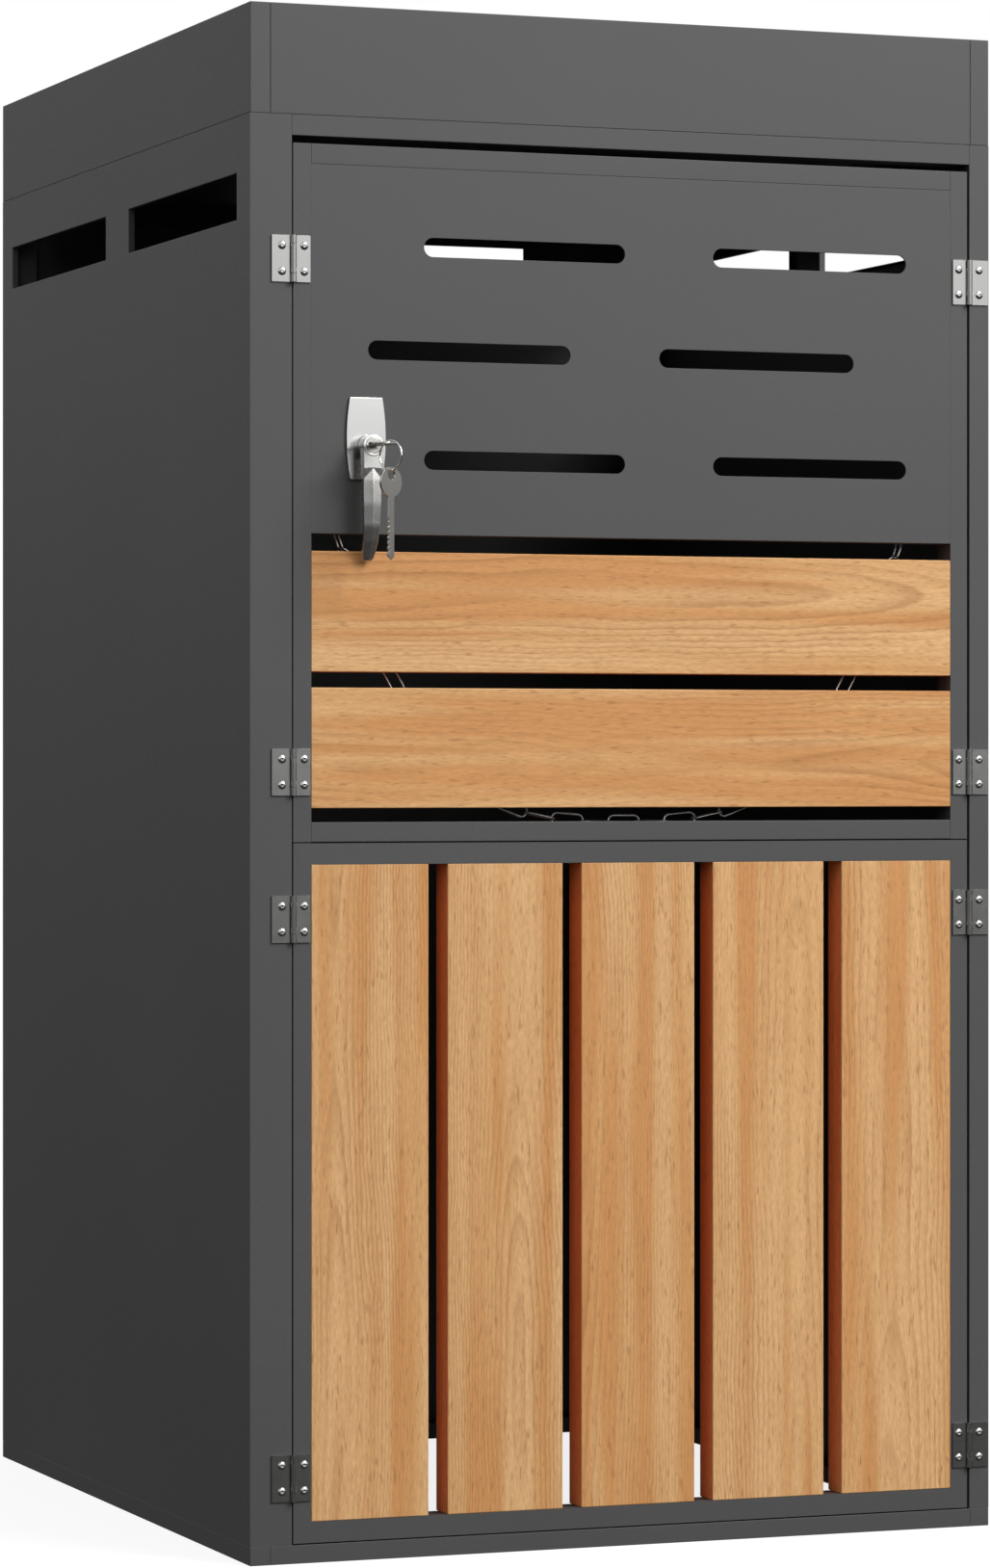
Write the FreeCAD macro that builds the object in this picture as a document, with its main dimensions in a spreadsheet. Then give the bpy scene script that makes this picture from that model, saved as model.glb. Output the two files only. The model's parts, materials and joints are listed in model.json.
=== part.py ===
import FreeCAD, Part
import Sketcher
import math
import os
import re
from FreeCAD import Placement, Rotation, Vector

# Wheeled-bin store: a powder-coated steel cabinet with a planting tray on top and two hinged
# doors in front. Places are given from the cabinet's front left bottom corner: x to the right,
# y to the back, z up. The frame's origin is below the middle of the whole, on the ground.

DIMENSIONS = {
    # cabinet
    "width": 680.0, "depth": 760.0, "height": 1300.0, "reach": 68.0,
    "base_rise": 15.5, "board": 17.8, "sheet": 1.5, "wall": 1.5,
    "post_left": 36.6, "post_right": 18.5, "post_depth": 24.8, "back_post": 25.0,
    "fascia_start": 1207.6, "header_rise": 17.4, "tray_rise": 84.0, "drain_radius": 6.0,
    "drain_inset": 60.0,
    # side and back openings
    "vent_start": 1121.5, "vent_rise": 39.0, "vent_front": 36.1, "vent_back": 416.1,
    "vent_length": 309.5, "rim": 6.0, "back_vent_start": 1142.0, "back_vent_left": 227.5,
    # doors
    "door_left": 37.8, "door_right": 659.1, "stile": 15.9, "frame_depth": 25.0,
    "lower_start": 16.7, "lower_end": 600.2, "upper_start": 601.2, "upper_end": 1184.0,
    "lower_rail": 17.7, "upper_bottom_rail": 16.5, "upper_top_rail": 17.0,
    # slats
    "slat_thick": 28.6, "slat_wide": 104.1, "slat_pitch": 121.3, "slat_rest": 0.1,
    "lying_slat_1": 629.4, "lying_slat_2": 743.4, "lying_slat_wide": 100.8,
    "slat_screw_apart": 56.0, "slat_screw_radius": 2.4, "slat_screw_length": 26.0,
    "slat_screw_head": 4.2, "slat_screw_head_rise": 3.0, "access_radius": 5.0,
    # slotted panel
    "panel_start": 858.7, "panel_sheet": 2.0, "panel_return": 20.0,
    "slot_radius": 8.0, "slot_span": 166.3,
    "slot_z_1": 921.7, "slot_z_2": 1013.1, "slot_z_3": 1100.8,
    "slot_x_1": 162.0, "slot_x_2": 426.0, "slot_x_3": 112.0, "slot_x_4": 376.0,
    "slot_x_5": 162.0, "slot_x_6": 426.0,
    # hinges
    "hinge_rise": 39.0, "hinge_sheet": 1.5, "knuckle_radius": 2.6, "end_knuckle": 7.0,
    "pin_radius": 1.3, "pin_play": 0.05, "knuckle_play": 0.35, "post_leaf": 18.6,
    "door_leaf": 15.3, "hinge_left": 37.2, "hinge_right": 660.3,
    "hinge_z_1": 71.6, "hinge_z_2": 537.0, "hinge_z_3": 659.5, "hinge_z_4": 1087.2,
    "hinge_screw_rise": 21.6, "hinge_screw_out": 9.8, "screw_radius": 1.8,
    "screw_head": 3.5, "screw_head_rise": 1.3, "screw_length": 4.5, "screw_socket": 1.1,
    # lock and handle
    "lock_x": 101.5, "lock_z": 932.0, "plate_rise": 69.0, "plate_below": 28.0,
    "plate_wide": 29.0, "plate_bulge": 3.0, "plate_thick": 2.5,
    "neck_radius": 9.2, "neck_end": 9.0, "hub_start": 9.4, "hub_end": 21.0, "hub_radius": 9.0,
    "bush_radius": 11.0, "bush_length": 11.0, "bush_nut": 15.0, "bush_nut_thick": 4.0,
    "spindle_radius": 7.9, "cylinder_radius": 6.7, "cylinder_length": 43.0,
    "spindle_length": 26.2, "square": 10.0, "cam_thick": 3.0, "cam_length": 71.5,
    "cam_wide": 16.0, "cam_nut": 6.5, "cam_nut_thick": 4.0, "handle_length": 96.0,
    # keys and ring
    "bow_radius": 12.5, "bow_hole": 4.4, "bow_hole_out": 6.2, "key_thick": 2.0,
    "blade_wide": 6.8, "blade_length": 52.0, "keyway_play": 0.15, "key_cut_first": 8.0,
    "key_cut_pitch": 4.2, "key_cut_half": 2.0,
    "ring_radius": 12.5, "ring_wire": 0.8, "ring_play": 0.3, "ring_turn": 26.3,
    # chain
    "link_length": 31.0, "link_wide": 12.6, "link_wire": 1.1, "link_play": 0.5,
    "chain_middle": 350.5, "chain_low": 617.0, "chain_y": 38.6, "chain_half": 259.0,
    "chain_drop": 235.0, "chain_power": 3.2, "links_each_side": 20, "eye_radius": 5.4,
    "eye_wire": 1.25, "eye_base": 4.2,
    # slide bolt of the lower door
    "bolt_radius": 4.0, "bolt_length": 118.0, "bolt_start": 44.0, "bolt_y": 32.5,
    "bolt_z": 591.0, "bolt_play": 0.1, "bolt_guide_x": 62.0, "bolt_guide_long": 72.0,
    "bolt_keeper_x": 14.0, "bolt_keeper_long": 16.0, "bolt_knob_x": 112.0, "bolt_wall": 2.6,
    "bolt_loop_long": 9.0, "access_long": 40.0, "bolt_knob_rise": 16.0, "bolt_bore_long": 220.0,
}

doc = FreeCAD.newDocument("bin_store")
cells = doc.addObject("Spreadsheet::Sheet", "Dims")
nodes = []


def fillSheet():
    for row, (name, number) in enumerate(DIMENSIONS.items(), start=1):
        cells.set("A%d" % row, name)
        cells.set("B%d" % row, str(number))
        cells.setAlias("B%d" % row, name)
    doc.recompute()


def size(name):
    return float(getattr(cells, name))


def formula(text):
    # the words of a formula are aliases of the sheet
    return re.sub(r"[a-z_]+[a-z0-9_]*", r"Dims.\g<0>", text)


def bind(item, **formulas):
    for name, text in formulas.items():
        item.setExpression(name, formula(text))


def place(item, x, y, z):
    item.setExpression("Placement.Base.x", formula("%s - width / 2" % x))
    item.setExpression("Placement.Base.y", formula("%s + (reach - depth) / 2" % y))
    item.setExpression("Placement.Base.z", formula(z))
    return item


def frameVector(x, y, z):
    # a point of the cabinet as a point of the frame
    return Vector(x - size("width") / 2, y + (size("reach") - size("depth")) / 2, z)


def node(item, label):
    item.Label = label
    nodes.append(item)
    return item


def box(x, y, z, length, width, height):
    item = doc.addObject("Part::Box", "box")
    bind(item, Length=length, Width=width, Height=height)
    return place(item, x, y, z)


def rod(x, y, z, radius, length, axis="z"):
    item = doc.addObject("Part::Cylinder", "rod")
    turns = {"x": Rotation(Vector(0, 1, 0), 90), "y": Rotation(Vector(1, 0, 0), -90), "z": Rotation()}
    item.Placement = Placement(Vector(), turns[axis])
    bind(item, Radius=radius, Height=length)
    return place(item, x, y, z)


def cone(x, y, z, radius_1, radius_2, length):
    # a cone that narrows towards the front
    item = doc.addObject("Part::Cone", "cone")
    item.Placement = Placement(Vector(), Rotation(Vector(1, 0, 0), 90))
    bind(item, Radius1=radius_1, Radius2=radius_2, Height=length)
    return place(item, x, y, z)


def hexagon(x, y, z, radius, length):
    # a six-sided prism along y
    item = doc.addObject("Part::Prism", "hexagon")
    item.Polygon = 6
    item.Placement = Placement(Vector(), Rotation(Vector(1, 0, 0), -90))
    bind(item, Circumradius=radius, Height=length)
    return place(item, x, y, z)


def fuse(*items):
    item = doc.addObject("Part::MultiFuse", "fuse")
    item.Shapes = list(items)
    return item


def group(items):
    item = doc.addObject("Part::Compound", "group")
    item.Links = items
    return item


def cut(base, *tools):
    item = doc.addObject("Part::Cut", "cut")
    item.Base = base
    item.Tool = tools[0] if len(tools) == 1 else group(list(tools))
    return item


def tube(x, y, z, length, width, height, open_axis):
    # a rectangular steel tube, open at both ends of one axis
    sizes = {"x": length, "y": width, "z": height}
    starts = {"x": x, "y": y, "z": z}
    for axis in "xyz":
        if axis != open_axis:
            starts[axis] = "%s + wall" % starts[axis]
            sizes[axis] = "%s - 2 * wall" % sizes[axis]
    outer = box(x, y, z, length, width, height)
    inner = box(starts["x"], starts["y"], starts["z"], sizes["x"], sizes["y"], sizes["z"])
    return cut(outer, inner)


# --- bodies made from sketches ---

def newBody(label, x, y, z):
    body = doc.addObject("PartDesign::Body", label)
    place(body, x, y, z)
    return node(body, label)


def newSketch(body, name, role):
    sketch = body.newObject("Sketcher::SketchObject", name)
    plane = [item for item in body.Origin.OriginFeatures if item.Role == role][0]
    sketch.AttachmentSupport = (plane, [""])
    sketch.MapMode = "FlatFace"
    return sketch


def dimension(sketch, constraint, text):
    index = sketch.addConstraint(constraint)
    sketch.setExpression("Constraints[%d]" % index, formula(text))


def fixPoint(sketch, geometry, point, x, y):
    # holds a point at x and y of the sketch; 0 puts it on the axis
    for kind, axis, text in (("DistanceX", -2, x), ("DistanceY", -1, y)):
        if text == "0":
            sketch.addConstraint(Sketcher.Constraint("PointOnObject", geometry, point, axis))
        else:
            dimension(sketch, Sketcher.Constraint(kind, -1, 1, geometry, point, 10.0), text)


def addRectangle(sketch, x, y, length, rise):
    first = sketch.GeometryCount
    corners = [Vector(10, 10, 0), Vector(20, 10, 0), Vector(20, 20, 0), Vector(10, 20, 0)]
    for i in range(4):
        sketch.addGeometry(Part.LineSegment(corners[i], corners[(i + 1) % 4]))
    for i in range(4):
        sketch.addConstraint(Sketcher.Constraint("Coincident", first + i, 2, first + (i + 1) % 4, 1))
        kind = "Horizontal" if i % 2 == 0 else "Vertical"
        sketch.addConstraint(Sketcher.Constraint(kind, first + i))
    fixPoint(sketch, first, 1, x, y)
    dimension(sketch, Sketcher.Constraint("DistanceX", first, 1, first, 2, 10.0), length)
    dimension(sketch, Sketcher.Constraint("DistanceY", first + 1, 1, first + 1, 2, 10.0), rise)


def extrude(body, kind, sketch, length, backwards=False):
    # a Pad or Pocket, checked by the volume that it adds or takes away
    doc.recompute()
    before = body.Shape.Volume if body.Tip else 0.0
    feature = body.newObject("PartDesign::" + kind, kind)
    feature.Profile = sketch
    feature.Reversed = backwards
    bind(feature, Length=length)
    body.Tip = feature
    doc.recompute()
    grown = body.Shape.Volume > before
    if abs(body.Shape.Volume - before) < 1e-3 or grown != (kind == "Pad"):
        change = body.Shape.Volume - before
        raise ValueError("%s of %s changes %.3f mm3" % (kind, body.Label, change))
    return feature


# --- cabinet ---

def buildBase():
    long_x = "width - 2 * board"
    node(box("board", "0", "0", long_x, "board", "base_rise"), "base_front_sill")
    node(box("board", "depth - board", "0", long_x, "board", "base_rise"), "base_back_rail")
    node(box("0", "0", "0", "board", "depth", "base_rise"), "base_side_rail_left")
    node(box("width - board", "0", "0", "board", "depth", "base_rise"), "base_side_rail_right")


def hingeScrewPlaces(side, hinges):
    # x and z formulas of every screw on one leaf side of the named hinges
    places = []
    for hinge in hinges:
        for sign in "+-":
            rise = "hinge_z_%d %s hinge_screw_rise / 2" % (hinge, sign)
            places.append((side, rise))
    return places


def screwDrills(places):
    return [rod(x, "-1 * hinge_sheet", z, "screw_radius", "screw_length", "y") for x, z in places]


def hingeScrews(places):
    screws = []
    for x, z in places:
        head = cone(x, "-1 * hinge_sheet", z, "screw_head", "screw_head * 0.6", "screw_head_rise")
        shank = rod(x, "-1 * hinge_sheet", z, "screw_radius", "screw_length", "y")
        socket_y = "-1 * hinge_sheet - screw_head_rise"
        socket = hexagon(x, socket_y, z, "screw_socket", "screw_head_rise * 0.8")
        screws.append(cut(fuse(head, shank), socket))
    return screws


POST_SCREWS_LEFT = ("hinge_left - hinge_screw_out", (1, 2, 3, 4))
POST_SCREWS_RIGHT = ("hinge_right + hinge_screw_out", (1, 2, 3, 4))
DOOR_SCREWS_LEFT = "hinge_left + hinge_screw_out"
DOOR_SCREWS_RIGHT = "hinge_right - hinge_screw_out"


def buildPosts():
    rise = "fascia_start - base_rise"
    left = tube("0", "0", "base_rise", "post_left", "post_depth", rise, "z")
    right = tube("width - post_right", "0", "base_rise", "post_right", "post_depth", rise, "z")
    left = cut(left, *screwDrills(hingeScrewPlaces(*POST_SCREWS_LEFT)))
    right = cut(right, *screwDrills(hingeScrewPlaces(*POST_SCREWS_RIGHT)))
    node(left, "post_front_left")
    node(right, "post_front_right")
    back_y = "depth - sheet - back_post"
    left_x = "sheet"
    right_x = "width - sheet - back_post"
    for label, x in (("post_back_left", left_x), ("post_back_right", right_x)):
        node(tube(x, back_y, "base_rise", "back_post", "back_post", rise, "z"), label)


def buildHeaders():
    z = "fascia_start - header_rise"
    side_y = "post_depth"
    side_long = "depth - sheet - back_post - post_depth"
    front_long = "width - post_left - post_right"
    back_long = "width - 2 * sheet - 2 * back_post"
    back_y = "depth - sheet - back_post"
    right_x = "width - sheet - board"
    node(tube("post_left", "0", z, front_long, "post_depth", "header_rise", "x"), "header_front")
    back_x = "sheet + back_post"
    node(tube(back_x, back_y, z, back_long, "back_post", "header_rise", "x"), "header_back")
    node(tube("sheet", side_y, z, "board", side_long, "header_rise", "y"), "header_left")
    node(tube(right_x, side_y, z, "board", side_long, "header_rise", "y"), "header_right")


def buildSidePanel(label, x, pad_back):
    # a sheet with two vents, each with a folded rim that stands inwards
    body = newBody(label, x, "post_depth", "base_rise")
    outline = newSketch(body, "outline", "YZ_Plane")
    long_y = "depth - sheet - post_depth"
    addRectangle(outline, "0", "0", long_y, "fascia_start - base_rise")
    extrude(body, "Pad", outline, "sheet", pad_back)
    rims = newSketch(body, "rims", "YZ_Plane")
    for start in ("vent_front", "vent_back"):
        addRectangle(rims, start + " - post_depth - sheet", "vent_start - base_rise - sheet",
                     "vent_length + 2 * sheet", "vent_rise + 2 * sheet")
    extrude(body, "Pad", rims, "rim", pad_back)
    vents = newSketch(body, "vents", "YZ_Plane")
    for start in ("vent_front", "vent_back"):
        addRectangle(vents, start + " - post_depth", "vent_start - base_rise",
                     "vent_length", "vent_rise")
    extrude(body, "Pocket", vents, "2 * rim", not pad_back)


def buildBackPanel():
    body = newBody("back_panel", "0", "depth", "base_rise")
    outline = newSketch(body, "outline", "XZ_Plane")
    addRectangle(outline, "0", "0", "width", "fascia_start - base_rise")
    extrude(body, "Pad", outline, "sheet")
    vent = newSketch(body, "vent", "XZ_Plane")
    addRectangle(vent, "back_vent_left", "back_vent_start - base_rise", "vent_length", "vent_rise")
    extrude(body, "Pocket", vent, "2 * sheet", True)


def buildFascia():
    # four folded boards, open towards the tray: the front and back ones stand between the side ones
    z = "fascia_start"
    rise = "height - fascia_start"
    inner_z = "fascia_start + sheet"
    inner_rise = "height - fascia_start - 2 * sheet"
    front_long = "width - 2 * board"
    for label, y, inner_y in (("fascia_front", "0", "sheet"),
                              ("fascia_back", "depth - board", "depth - board")):
        outer = box("board", y, z, front_long, "board", rise)
        inner = box("board + sheet", inner_y, inner_z, front_long + " - 2 * sheet", "board - sheet",
                    inner_rise)
        node(cut(outer, inner), label)
    for label, x, inner_x in (("fascia_left", "0", "sheet"),
                              ("fascia_right", "width - board", "width - board")):
        outer = box(x, "0", z, "board", "depth", rise)
        inner = box(inner_x, "sheet", inner_z, "board - sheet", "depth - 2 * sheet", inner_rise)
        node(cut(outer, inner), label)


def buildTray():
    # planting tray inside the fascia, with a drain hole near each corner
    body = newBody("roof_tray", "board", "board", "fascia_start")
    outline = newSketch(body, "outline", "XY_Plane")
    long_x = "width - 2 * board"
    long_y = "depth - 2 * board"
    addRectangle(outline, "0", "0", long_x, long_y)
    extrude(body, "Pad", outline, "tray_rise")
    hollow = newSketch(body, "hollow", "XY_Plane")
    addRectangle(hollow, "sheet", "sheet", long_x + " - 2 * sheet", long_y + " - 2 * sheet")
    hollow.AttachmentOffset = Placement(Vector(0, 0, size("sheet")), Rotation())
    hollow.setExpression("AttachmentOffset.Base.z", formula("sheet"))
    extrude(body, "Pocket", hollow, "tray_rise", True)
    drains = newSketch(body, "drains", "XY_Plane")
    for x in ("drain_inset", long_x + " - drain_inset"):
        for y in ("drain_inset", long_y + " - drain_inset"):
            radius = size("drain_radius")
            hole = Part.Circle(Vector(size("drain_inset"), size("drain_inset"), 0), Vector(0, 0, 1), radius)
            index = drains.addGeometry(hole)
            dimension(drains, Sketcher.Constraint("Radius", index, radius), "drain_radius")
            fixPoint(drains, index, 3, x, y)
    extrude(body, "Pocket", drains, "2 * sheet", True)


# --- hinges ---

def hingeLeaf(axis, outwards, wide, hinge, ends, bore):
    # outwards is + or -, the way the leaf lies from its pin; ends is true for the leaf with the
    # two short end knuckles, false for the one with the long middle knuckle
    start = "(hinge_z_%d - hinge_rise / 2)" % hinge
    plate_x = axis if outwards == "+" else "%s - %s" % (axis, wide)
    plate = box(plate_x, "-1 * hinge_sheet", start, wide, "hinge_sheet", "hinge_rise")
    top = start + " + hinge_rise - end_knuckle"
    middle = start + " + end_knuckle + knuckle_play"
    middle_rise = "hinge_rise - 2 * end_knuckle - 2 * knuckle_play"
    pin_y = "-1 * knuckle_radius"
    gap = "(knuckle_radius + knuckle_play)"
    relief_x = "%s - %s" % (axis, gap)
    relief_y = "-2 * knuckle_radius"
    if ends:
        knuckles = [rod(axis, pin_y, start, "knuckle_radius", "end_knuckle"),
                    rod(axis, pin_y, top, "knuckle_radius", "end_knuckle")]
        middle_space = "hinge_rise - 2 * end_knuckle"
        reliefs = [box(relief_x, relief_y, start + " + end_knuckle", "2 * " + gap,
                       "3 * knuckle_radius", middle_space)]
    else:
        knuckles = [rod(axis, pin_y, middle, "knuckle_radius", middle_rise)]
        end_space = "end_knuckle + knuckle_play"
        reliefs = [box(relief_x, relief_y, z, "2 * " + gap, "3 * knuckle_radius", end_space)
                   for z in (start, start + " + hinge_rise - end_knuckle - knuckle_play")]
    hole = rod(axis, pin_y, start + " - 1", bore, "hinge_rise + 2")
    screw_x = "%s %s hinge_screw_out" % (axis, outwards)
    drills = screwDrills(hingeScrewPlaces(screw_x, (hinge,)))
    plate = cut(plate, *reliefs)
    return cut(fuse(plate, *knuckles), hole, *drills)


def buildHinges():
    post_leaves = []
    for hinge in (1, 2, 3, 4):
        post_leaves.append(hingeLeaf("hinge_left", "-", "post_leaf", hinge, True, "pin_radius"))
        post_leaves.append(hingeLeaf("hinge_right", "+", "post_leaf", hinge, True, "pin_radius"))
    node(group(post_leaves), "hinge_post_leaves")
    bore = "pin_radius + pin_play"
    for label, hinges in (("lower_door_hinge_leaves", (1, 2)), ("upper_door_hinge_leaves", (3, 4))):
        leaves = []
        for hinge in hinges:
            leaves.append(hingeLeaf("hinge_left", "+", "door_leaf", hinge, False, bore))
            leaves.append(hingeLeaf("hinge_right", "-", "door_leaf", hinge, False, bore))
        node(group(leaves), label)
    pins = []
    for hinge in (1, 2, 3, 4):
        start = "hinge_z_%d - hinge_rise / 2" % hinge
        pins.append(rod("hinge_right", "-1 * knuckle_radius", start, "pin_radius", "hinge_rise"))
    node(group(pins), "hinge_pins")
    screws = hingeScrews(hingeScrewPlaces(*POST_SCREWS_LEFT) + hingeScrewPlaces(*POST_SCREWS_RIGHT))
    node(group(screws), "hinge_screws_posts")
    for label, hinges in (("hinge_screws_lower_door", (1, 2)), ("hinge_screws_upper_door", (3, 4))):
        places = hingeScrewPlaces(DOOR_SCREWS_LEFT, hinges) + hingeScrewPlaces(DOOR_SCREWS_RIGHT, hinges)
        node(group(hingeScrews(places)), label)


# --- door frames and slats ---

def stileScrewPlaces():
    # z formulas of the screws that hold the two lying slats
    middle = ["lying_slat_%d + lying_slat_wide / 2" % i for i in (1, 2)]
    return ["%s %s slat_screw_apart / 2" % (z, sign) for z in middle for sign in "+-"]


def railScrewPlaces():
    # x formulas of the screws that hold the five standing slats
    places = []
    for i in range(5):
        middle = "door_left + stile + slat_rest + slat_wide / 2 + %d * slat_pitch" % i
        places += ["%s %s slat_screw_apart / 2" % (middle, sign) for sign in "+-"]
    return places


def slatScrew(start, along, x, z):
    # start is the inner face of the frame tube; the head lies inside the tube, the shank
    # passes its wall into the slat's end
    middle_y = "frame_depth / 2"
    forward = along[1] == "+"
    axis = along[0]
    base = {"x": x, "z": z}
    shank = dict(base)
    head = dict(base)
    if forward:
        shank[axis] = "%s - wall" % start
        head[axis] = "%s - wall - slat_screw_head_rise" % start
    else:
        shank[axis] = "%s + wall - slat_screw_length" % start
        head[axis] = "%s + wall" % start
    return fuse(rod(shank["x"], middle_y, shank["z"], "slat_screw_radius", "slat_screw_length", axis),
                rod(head["x"], middle_y, head["z"], "slat_screw_head", "slat_screw_head_rise", axis))


def slatDrill(start, along, x, z):
    # clears the shank through the wall and the slat, and the screwdriver through the outer wall
    middle_y = "frame_depth / 2"
    axis = along[0]
    shank = {"x": x, "z": z}
    access = dict(shank)
    if along[1] == "+":
        shank[axis] = "%s - wall" % start
        access[axis] = "%s - access_long" % start
        reach = "access_long - wall"
    else:
        shank[axis] = "%s + wall - slat_screw_length" % start
        access[axis] = "%s + wall" % start
        reach = "access_long"
    return group([rod(shank["x"], middle_y, shank["z"], "slat_screw_radius", "slat_screw_length", axis),
                  rod(access["x"], middle_y, access["z"], "access_radius", reach, axis)])


def buildLowerDoor():
    rise = "lower_end - lower_start"
    inner_x = "door_left + stile"
    inner_long = "door_right - door_left - 2 * stile"
    left = tube("door_left", "0", "lower_start", "stile", "frame_depth", rise, "z")
    right = tube("door_right - stile", "0", "lower_start", "stile", "frame_depth", rise, "z")
    left = cut(left, *screwDrills(hingeScrewPlaces(DOOR_SCREWS_LEFT, (1, 2))))
    right = cut(right, *screwDrills(hingeScrewPlaces(DOOR_SCREWS_RIGHT, (1, 2))))
    node(left, "lower_door_stile_left")
    node(right, "lower_door_stile_right")
    bottom_top = "lower_start + lower_rail"
    top_bottom = "lower_end - lower_rail"
    low_drills = [slatDrill(bottom_top, "z+", x, "") for x in railScrewPlaces()]
    high_drills = [slatDrill(top_bottom, "z-", x, "") for x in railScrewPlaces()]
    bottom = tube(inner_x, "0", "lower_start", inner_long, "frame_depth", "lower_rail", "x")
    top = tube(inner_x, "0", top_bottom, inner_long, "frame_depth", "lower_rail", "x")
    node(cut(bottom, *low_drills), "lower_door_rail_bottom")
    node(cut(top, *high_drills), "lower_door_rail_top")
    slat_rise = "lower_end - lower_start - 2 * lower_rail"
    for i in range(5):
        slat_x = "door_left + stile + slat_rest + %d * slat_pitch" % i
        slat = box(slat_x, "0", bottom_top, "slat_wide", "slat_thick", slat_rise)
        own = slice(2 * i, 2 * i + 2)
        node(cut(slat, *(low_drills[own] + high_drills[own])), "standing_slat_%d" % (i + 1))
    screws = [slatScrew(bottom_top, "z+", x, "") for x in railScrewPlaces()]
    screws += [slatScrew(top_bottom, "z-", x, "") for x in railScrewPlaces()]
    node(group(screws), "slat_screws_lower_door")


def buildUpperDoor():
    rise = "upper_end - upper_start"
    inner_x = "door_left + stile"
    right_x = "door_right - stile"
    inner_long = "door_right - door_left - 2 * stile"
    left_drills = [slatDrill(inner_x, "x+", "", z) for z in stileScrewPlaces()]
    right_drills = [slatDrill(right_x, "x-", "", z) for z in stileScrewPlaces()]
    left = tube("door_left", "0", "upper_start", "stile", "frame_depth", rise, "z")
    right = tube(right_x, "0", "upper_start", "stile", "frame_depth", rise, "z")
    left = cut(left, *(screwDrills(hingeScrewPlaces(DOOR_SCREWS_LEFT, (3, 4))) + left_drills))
    right = cut(right, *(screwDrills(hingeScrewPlaces(DOOR_SCREWS_RIGHT, (3, 4))) + right_drills))
    node(left, "upper_door_stile_left")
    node(right, "upper_door_stile_right")
    bottom = tube(inner_x, "0", "upper_start", inner_long, "frame_depth", "upper_bottom_rail", "x")
    top_z = "upper_end - upper_top_rail"
    top = tube(inner_x, "0", top_z, inner_long, "frame_depth", "upper_top_rail", "x")
    node(bottom, "upper_door_rail_bottom")
    node(top, "upper_door_rail_top")
    for i in (1, 2):
        slat = box(inner_x, "0", "lying_slat_%d" % i, inner_long, "slat_thick", "lying_slat_wide")
        own = slice(2 * i - 2, 2 * i)
        node(cut(slat, *(left_drills[own] + right_drills[own])), "lying_slat_%d" % i)
    screws = [slatScrew(inner_x, "x+", "", z) for z in stileScrewPlaces()]
    screws += [slatScrew(right_x, "x-", "", z) for z in stileScrewPlaces()]
    node(group(screws), "slat_screws_upper_door")


def slotTool(x, z):
    # a lying slot with round ends, from the middle of its left end
    parts = [box(x, "-2", "%s - slot_radius" % z, "slot_span", "8", "2 * slot_radius")]
    for end in (x, "%s + slot_span" % x):
        parts.append(rod(end, "-2", z, "slot_radius", "8", "y"))
    return fuse(*parts)


def buildSlottedPanel():
    # sheet with a stiffening return along its foot, six round-ended slots and the lock's hole
    body = doc.addObject("PartDesign::Body", "panel_sheet_body")
    place(body, "0", "panel_sheet", "0")
    left = "door_left + stile"
    long_x = "door_right - door_left - 2 * stile"
    outline = newSketch(body, "outline", "XZ_Plane")
    addRectangle(outline, left, "panel_start", long_x, "upper_end - upper_top_rail - panel_start")
    extrude(body, "Pad", outline, "panel_sheet")
    foot = newSketch(body, "foot", "XZ_Plane")
    addRectangle(foot, left, "panel_start", long_x, "panel_sheet")
    extrude(body, "Pad", foot, "panel_return - panel_sheet", True)
    slots = [slotTool("slot_x_%d" % (i + 1), "slot_z_%d" % (i // 2 + 1)) for i in range(6)]
    lock_hole = rod("lock_x", "-sheet", "lock_z", "bush_radius", "4 * sheet", "y")
    node(cut(body, *slots, lock_hole), "slotted_panel")


# --- lock, handle and keys ---

def buildEscutcheon():
    # plate whose two sides bow outwards, its neck in front and its threaded bush behind
    bow = "((plate_rise ^ 2 / 4 + plate_bulge ^ 2) / (2 * plate_bulge))"
    half = "(plate_wide / 2 + plate_bulge)"
    low = "(lock_z - plate_below)"
    y = "-1 * plate_thick"
    middle_z = low + " + plate_rise / 2"
    blank = box("lock_x - " + half, y, low, "2 * " + half, "plate_thick", "plate_rise")
    left_bow = rod("lock_x - %s + %s" % (half, bow), y, middle_z, bow, "plate_thick", "y")
    right_bow = rod("lock_x + %s - %s" % (half, bow), y, middle_z, bow, "plate_thick", "y")
    plate = doc.addObject("Part::MultiCommon", "plate")
    plate.Shapes = [blank, left_bow, right_bow]
    neck = rod("lock_x", "-1 * neck_end", "lock_z", "neck_radius", "neck_end", "y")
    bush = rod("lock_x", "0", "lock_z", "bush_radius", "bush_length", "y")
    bore = rod("lock_x", "-20", "lock_z", "spindle_radius + pin_play", "40", "y")
    node(cut(fuse(plate, neck, bush), bore), "lock_escutcheon")


def buildLockFittings():
    nut = hexagon("lock_x", "panel_sheet", "lock_z", "bush_nut", "bush_nut_thick")
    hole = rod("lock_x", "0", "lock_z", "bush_radius", "bush_length", "y")
    node(cut(nut, hole), "lock_fixing_nut")
    barrel = rod("lock_x", "-1 * hub_end", "lock_z", "cylinder_radius", "cylinder_length", "y")
    half = "(blade_wide / 2 + keyway_play)"
    thick = "(key_thick / 2 + keyway_play)"
    keyway = box("lock_x - " + half, "-1 * hub_end", "lock_z - " + thick,
                 "2 * " + half, "cylinder_length - 1", "2 * " + thick)
    node(cut(barrel, keyway), "lock_cylinder")


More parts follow.
